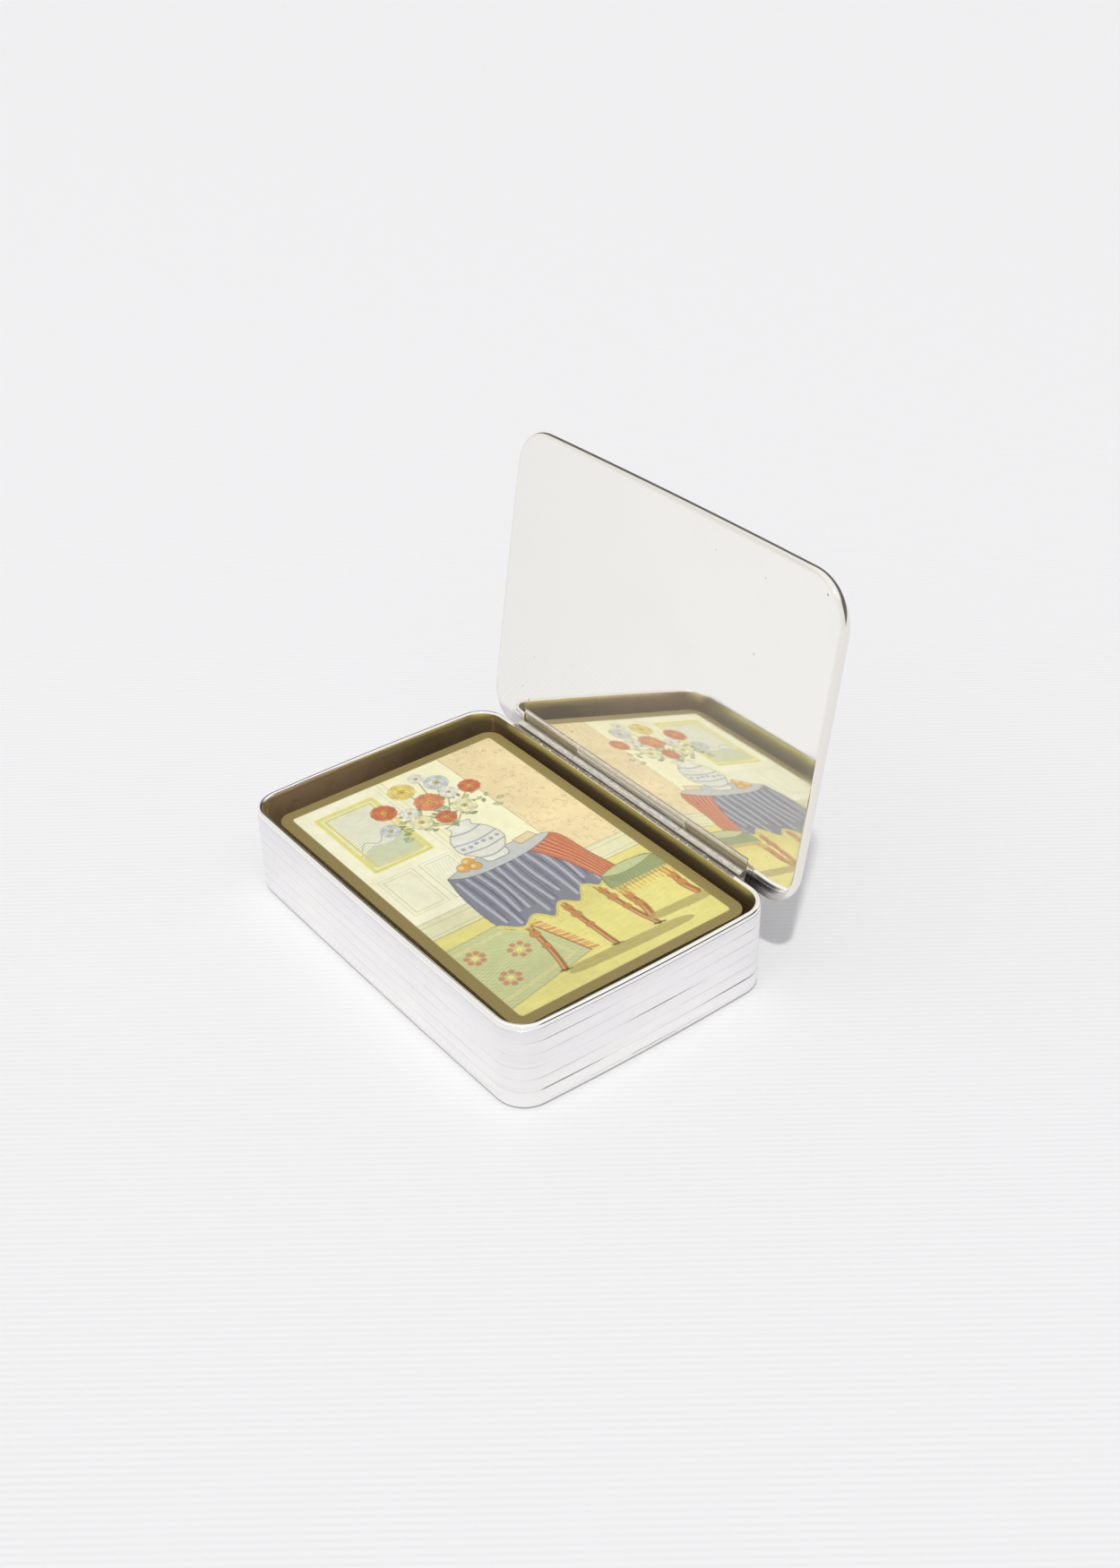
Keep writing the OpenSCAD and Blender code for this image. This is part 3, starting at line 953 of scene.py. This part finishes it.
def draw_leg(p, leg, thick, edge, shift, width, shine, strength):
    """A turned leg with a dark outline and a lit side."""
    p.line(leg, INK, thick + 0.14, edge)
    p.line(leg, BROWN, thick, 0.95)
    p.line([(u, v - shift) for u, v in leg], shine, width, strength)


def draw_bench(p):
    """Low cushioned bench with a fringe and turned legs."""
    for v0, lean in ((42.8, -0.6), (53.2, 0.6)):
        leg = [(66, v0), (69, v0 + lean), (73, v0 + lean * 0.5), (76.5, v0 + lean * 1.6)]
        draw_leg(p, leg, 0.78, 0.7, 0.28, 0.26, (0.78, 0.42, 0.16), 0.8)
        for u0 in (69.2, 72.2):
            p.disc(u0, v0 + lean * 0.8, 1.05, (0.62, 0.28, 0.1), 0.6)
    shadow = [(76.5, 41), (77.2, 55), (79.3, 55), (79, 45), (78.2, 41)]
    part, distance = p.shape(shadow, (0.5, 0.43, 0.15), 0, 0.8)
    p.hatch(part, distance, 0.5, 0.2, 0.6)
    seat = [(60.5, 41.6), (59.3, 46), (59.4, 51), (60.6, 55), (65.5, 55), (66.4, 48), (65.8, 41.4)]
    p.shape(seat, DEEP_SAGE, 0.8, 0.95, ((0.6, 0.3, 0.5), (0.8, 1.3, 0.35)))
    p.shape(seat[:4] + [(62, 50), (62, 45)], SAGE, 0.5, 0.9, ((0.7, 0.2, 0.35),))
    for k in range(27):
        v0 = 41.4 + k * 0.52
        colour = YELLOW if k % 2 else (0.75, 0.4, 0.1)
        p.line([(65.4, v0), (68 + 0.3 * (k % 3), v0 + 0.1)], colour, 0.16, 0.9)


def draw_table(p):
    """Table with slender legs under a draped cloth, and a shawl that hangs over one side."""
    for v0, lean in ((20.5, -1.8), (30, 0.4), (38.6, 1.8)):
        leg = [(58, v0), (63, v0 + lean * 0.2), (70, v0 + lean * 0.5), (76, v0 + lean),
               (79.5, v0 + lean * 1.5)]
        draw_leg(p, leg, 0.58, 0.75, 0.2, 0.2, (0.8, 0.46, 0.18), 0.85)
        for u0, size in ((64.5, 0.95), (67.2, 1.15), (71.5, 0.95)):
            p.disc(u0, v0 + lean * (u0 - 58) / 21, size, (0.6, 0.26, 0.09), 0.6)
        p.line([(79.5, v0 + lean * 1.5 - 1), (80, v0 + lean * 1.5 + 1.3)], INK, 0.25, 0.8)
    shadow = [(79.5, 19), (80.6, 44), (83, 46), (82, 20)]
    part, distance = p.shape(shadow, (0.48, 0.41, 0.14), 0, 0.75)
    p.hatch(part, distance, 0.5, 0.15, 0.6)
    hem = [(60, 43.2), (62.8, 40), (60.6, 37), (64.6, 33.5), (62, 30), (65.4, 26.5), (62.2, 23.4),
           (64.2, 19.5), (61, 15.6)]
    cloth = [(41.5, 16.5), (40, 24), (40, 34), (41.4, 42.8), (50, 43.6), *hem, (50, 15.2)]
    p.shape(cloth, GREY_BLUE, 0.8, 0.95, ((0.62, 1.45, 0.5),))
    for k in range(11):
        v0 = 17.2 + k * 2.45
        drop = 60.5 + 2.2 * math.sin(k * 1.9)
        p.line([(44, v0), (51, v0 + 0.5 * math.sin(k)), (drop, v0 + 0.4 * math.cos(k))],
               (0.62, 0.63, 0.68), 0.34, 0.65)
        p.line([(43.5, v0 + 1), (52, v0 + 1.3 + 0.4 * math.sin(k)), (drop, v0 + 1)],
               (0.1, 0.1, 0.14), 0.14, 0.7)
        p.line([(47, v0 + 1.6), (53, v0 + 1.8), (drop - 2, v0 + 1.7)], INK, 0.06, 0.6)
    hem = smooth_line(hem)
    p.line(hem, YELLOW, 0.42, 0.9, False)
    for u0, v0 in hem[::2]:
        p.line([(u0, v0), (u0 + 1.5, v0 + 0.15)], (0.78, 0.6, 0.16), 0.12, 0.9)
    p.line(hem, INK, 0.05, 0.5, False)
    shawl = [(41.2, 34.5), (40.6, 40), (42.5, 44.2), (52, 45.4), (60.5, 46.6), (64.4, 44.2),
             (60.5, 41.8), (52, 39.6), (45, 36.5)]
    p.shape(shawl, RUST, 0.8, 0.95, ((0.6, 1.35, 0.45),))
    for k in range(5):
        share = k / 4
        p.line([(43, 37 + share * 5.5), (51, 40.5 + share * 4), (61, 42.6 + share * 3)],
               (0.86, 0.42, 0.22), 0.2, 0.6)
        p.line([(43.5, 37.9 + share * 5), (52, 41.1 + share * 3.6), (61.5, 43 + share * 2.6)],
               (0.3, 0.06, 0.03), 0.13, 0.65)
    top = [(41.5, 16.5), (39.2, 24), (38.9, 32), (39.6, 38.5), (41.2, 43), (43.6, 37), (44.4, 29),
           (43.8, 21)]
    p.shape(top, PALE_BLUE, 0.7, 0.95, ((0.6, 0.1, 0.35),))


def draw_flowers(p):
    """White vase with blue bands, and a loose bunch of flowers."""
    vase = [(26.2, 26.6), (28, 26.9), (31, 24.6), (35.6, 23.9), (39.2, 26.2), (41.6, 27),
            (42, 29.5), (41.6, 32.2), (39.2, 33), (35.6, 35.2), (31, 34.4), (28, 32.2),
            (26.2, 32.4)]
    part, distance = p.shape(vase, WHITE, 0.85, 1)
    side = np.clip((p.v[part] - 29.0) / 6.0, 0, 1)
    p.hatch(part, np.maximum(distance, 0.6 - side * 2), 0.6, 0.4, 0.6)
    for u0, half in ((29.6, 3.9), (33.2, 5.2), (36.6, 5.1), (39.6, 3.2)):
        p.line([(u0 - 0.2, 29.5 - half), (u0 + 0.6, 29.5), (u0 - 0.2, 29.5 + half)],
               (0.22, 0.26, 0.4), 0.2, 0.75)
    for k in range(6):
        p.disc(34.9 + 0.25 * math.sin(k * 2), 25.2 + k * 1.75, 0.5, (0.3, 0.34, 0.48), 0.3, 0.8)
    heads = [(13, 19.5, 2.9, RUST), (8.6, 27, 3, (0.84, 0.66, 0.2)),
             (10.2, 35.2, 2.8, PALE_BLUE), (15.8, 40.2, 2.5, RUST), (19.6, 17, 2.2, PALE_BLUE),
             (15.6, 29.6, 3.3, (0.7, 0.28, 0.14)), (21, 24, 2.5, STRAW),
             (21.4, 35, 2.6, STRAW), (16.6, 23.8, 2, WHITE), (15, 35.2, 2, WHITE),
             (22.6, 29.4, 2.3, RUST), (6.2, 32.4, 1.8, WHITE)]
    for u0, v0, size, _ in heads:
        bend = (29.5 - v0) * 0.25
        stalk = [(27, 29.5), ((27 + u0) / 2 + 1, (29.5 + v0) / 2 + bend), (u0, v0)]
        p.line(stalk, DEEP_SAGE, 0.16, 0.95)
    for k in range(58):
        turn = -math.pi * (0.02 + 0.96 * (k % 29) / 28)
        reach = 4.5 + 4.6 * (k // 29) + p.dice.uniform(-1.5, 2)
        u0, v0 = 25.5 + reach * math.sin(turn), 29.5 + 1.15 * reach * math.cos(turn)
        size, lean = p.dice.uniform(1.2, 2.3), turn + p.dice.uniform(-0.7, 0.7)
        du, dv = math.sin(lean) * size, math.cos(lean) * size
        leaf = [(u0, v0), (u0 + du * 0.5 - dv * 0.28, v0 + dv * 0.5 + du * 0.28),
                (u0 + du, v0 + dv), (u0 + du * 0.5 + dv * 0.28, v0 + dv * 0.5 - du * 0.28)]
        p.shape(leaf, (SAGE, DEEP_SAGE, (0.52, 0.6, 0.4))[k % 3], 0.55)
        p.line([leaf[0], leaf[2]], INK, 0.03, 0.4)
    for u0, v0, size, colour in heads:
        for ring, (reach, petal) in enumerate(((0.68, 0.36), (0.4, 0.3))):
            for k in range(PETALS):
                turn = (k + 0.5 * ring) * 2 * math.pi / PETALS + u0
                shade = 1 + 0.16 * math.sin(k * 2.3 + v0) + 0.1 * ring
                tone = np.clip(np.asarray(colour) * shade, 0, 0.93)
                p.disc(*around(u0, v0, size * reach, turn), size * petal, tone, 0.42)
        p.disc(u0, v0, size * 0.26, (0.7, 0.52, 0.12), 0.6)
        p.disc(u0 + 0.1, v0 + 0.1, size * 0.1, INK, 0, 0.6)
    # Fruit and a small book beside the vase
    for u0, v0, size in ((40.3, 21.4, 1.5), (39, 23.4, 1.4), (41.2, 23.9, 1.35)):
        p.disc(u0, v0, size, (0.76, 0.42, 0.1), 0.7)
        p.disc(u0 - 0.35, v0 - 0.45, size * 0.42, (0.9, 0.74, 0.34), 0, 0.8)
    p.shape([(38.6, 35.2), (38, 39.8), (40.2, 40.6), (40.8, 36)], TAN, 0.7, 0.95,
            ((0.5, 0.3, 0.4),), rounded=False)


def draw_picture():
    """A room with a vase of flowers on a covered table, a bench, a rug and a wall hanging."""
    p = Picture()
    draw_room(p)
    draw_rug(p)
    draw_table(p)
    draw_flowers(p)
    draw_bench(p)
    page = p.off_page(p.all)
    p.put(p.all, np.abs(page) - 0.03, (0.52, 0.45, 0.2), 0.5, clip=False)
    tone = 1 + 0.05 * p.cloud(16.0) + 0.035 * p.cloud(1.1) + 0.02 * p.dice.uniform(-1, 1, p.u.shape)
    p.colour *= np.where(page < 0, tone, 1 + 0.3 * (tone - 1))[..., None]
    return p


def card_piece():
    """The top card: a closed thin slab whose upper face carries the picture's colours."""
    p = draw_picture()
    half_x, half_y = CARD[0] / 2, CARD[1] / 2
    x = p.u - half_x
    y = p.v - half_y
    # Pull the grid's corners in to the card's round corners
    cx = np.clip(np.abs(x) - (half_x - CARD_CORNER), 0, None)
    cy = np.clip(np.abs(y) - (half_y - CARD_CORNER), 0, None)
    reach = np.hypot(cx, cy)
    squeeze = np.where(reach > 0, np.maximum(cx, cy) / np.maximum(reach, 1e-9), 1.0)
    x = np.sign(x) * (np.minimum(np.abs(x), half_x - CARD_CORNER) + cx * squeeze)
    y = np.sign(y) * (np.minimum(np.abs(y), half_y - CARD_CORNER) + cy * squeeze)
    nu, nv = p.nu, p.nv
    flat = np.stack([x + CARD_CENTRE[0], y + CARD_CENTRE[1]], -1).reshape(-1, 2)
    verts = [(a, b, DECK_TOP) for a, b in flat]
    rows, cols = np.meshgrid(np.arange(nu - 1), np.arange(nv - 1), indexing="ij")
    first = (rows * nv + cols).ravel()
    faces = np.stack([first, first + nv, first + nv + 1, first + 1], -1).tolist()
    ring = list(range(nv)) + [i * nv + nv - 1 for i in range(1, nu)]
    ring += [(nu - 1) * nv + j for j in range(nv - 2, -1, -1)]
    ring += [i * nv for i in range(nu - 2, 0, -1)]
    base, count = len(verts), len(ring)
    verts += [(flat[k][0], flat[k][1], DECK_TOP - CARD_THICKNESS) for k in ring]
    slots = [0] * len(faces) + [1] * (count + 1)
    for k in range(count):
        j = (k + 1) % count
        faces.append((ring[k], ring[j], base + j, base + k))
    faces.append(tuple(range(base, base + count)))
    mesh = new_mesh("picture_card", verts, faces, [PRINT, PASTEBOARD], slots)
    ink = mesh.attributes.new("ink", "FLOAT_COLOR", "POINT")
    colours = np.ones((len(verts), 4), np.float32)
    colours[:base, :3] = np.clip(p.colour.reshape(-1, 3), 0, 1)
    colours[base:, :3] = CREAM
    ink.data.foreach_set("color", colours.ravel())
    mesh.validate()
    return add_object("picture_card", mesh)


card = card_piece()
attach(card, "picture_card")
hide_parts("top_card")


# Floor, light and camera

BACKDROP = (0.87, 0.87, 0.87)
DOME = (0.59, 0.583, 0.6)
DARK_STRIP = (0.055, 0.05, 0.045)
RIBS_TURN = math.radians(-52.9)
FLOOR_HALF = 3000
SUN_TRAVEL = (-0.4, 0.35, -1.0)
SUN_COLOUR = (0.99, 1.0, 0.98)
LENS = 43.68
CAMERA_PLACE = (263.194, -182.987, 251.695)
CAMERA_RIGHT = (0.61159105, 0.79101313, -0.01595648)
CAMERA_UP = (-0.43256175, 0.35119649, 0.83039229)
CAMERA_BACK = (0.66245507, -0.50095833, 0.55695066)


def stage_floor():
    """Pale cloth-like floor with fine ribs."""
    n = material("floor")
    wave = n.add("ShaderNodeTexWave", wave_type="BANDS", bands_direction="Y")
    n.fill(wave, Vector=n.place(turn=(0, 0, RIBS_TURN)), Scale=0.23, Distortion=0.6, Detail=2.0)
    ribs = n.result(wave, "Fac")
    grain = n.noise(0.9, 4, rough=0.6)
    tone = n.mix(ribs * 0.7, (0.94, 0.94, 0.945), (0.88, 0.88, 0.885))
    tone = n.mix(n.step(grain, 0.4, 0.8) * 0.4, tone, (0.94, 0.94, 0.94))
    made = n.surface(tone, 0.8, 0.0, n.bump(ribs, 0.05, 0.24))
    corners = [(a * FLOOR_HALF, b * FLOOR_HALF, 0) for a, b in box(-1, -1, 1, 1)[::-1]]
    add_object("floor", new_mesh("floor", corners, [(0, 1, 2, 3)], [made]))


def world():
    """Pale room with a dark strip low down behind the case, which only the metal shows.
    The camera sees an even backdrop, and everything else gets an even soft light."""
    made = bpy.data.worlds.new("room")
    bpy.context.scene.world = made
    n = Nodes(made, "ShaderNodeOutputWorld")
    _, y, z = n.split(n.result(n.add("ShaderNodeTexCoord"), "Generated"))
    none, full = (0, 0, 0), (1, 1, 1)
    walls = n.ramp(z, ((-1.0, BACKDROP), (-0.02, BACKDROP), (0.02, (0.86, 0.83, 0.78)),
                       (0.5, (0.86, 0.84, 0.805)), (0.72, (0.84, 0.84, 0.84)),
                       (0.8, (0.98, 0.98, 0.98))))
    low = n.ramp(z, ((0.0, none), (0.1, full), (0.58, full), (0.7, none)))
    behind = n.ramp(y, ((0.12, none), (0.34, full)))
    room = n.mix(n.mix(1.0, low, behind, "MULTIPLY"), walls, DARK_STRIP)
    rays = n.add("ShaderNodeLightPath")
    lit = n.mix(n.result(rays, "Is Glossy Ray"), DOME, room)
    seen = n.mix(n.result(rays, "Is Camera Ray"), lit, BACKDROP)
    shader = n.add("ShaderNodeBackground")
    n.fill(shader, Color=seen)
    n.fill(n.out, Surface=n.result(shader))


def sun(strength, spread):
    data = bpy.data.lights.new("key", "SUN")
    data.energy, data.angle, data.color = strength, math.radians(spread), SUN_COLOUR
    light = add_object("key", data)
    light.rotation_euler = Vector(SUN_TRAVEL).to_track_quat("-Z", "Y").to_euler()


def camera():
    data = bpy.data.cameras.new("camera")
    data.lens = LENS
    data.clip_start, data.clip_end = 0.01, 20
    made = add_object("camera", data)
    turn = Matrix((CAMERA_RIGHT, CAMERA_UP, CAMERA_BACK)).transposed().to_4x4()
    made.matrix_world = Matrix.Translation(Vector(CAMERA_PLACE) * MM) @ turn
    bpy.context.scene.camera = made


stage_floor()
world()
sun(1.32, 2.6)
camera()
bpy.context.scene.view_settings.view_transform = "Standard"
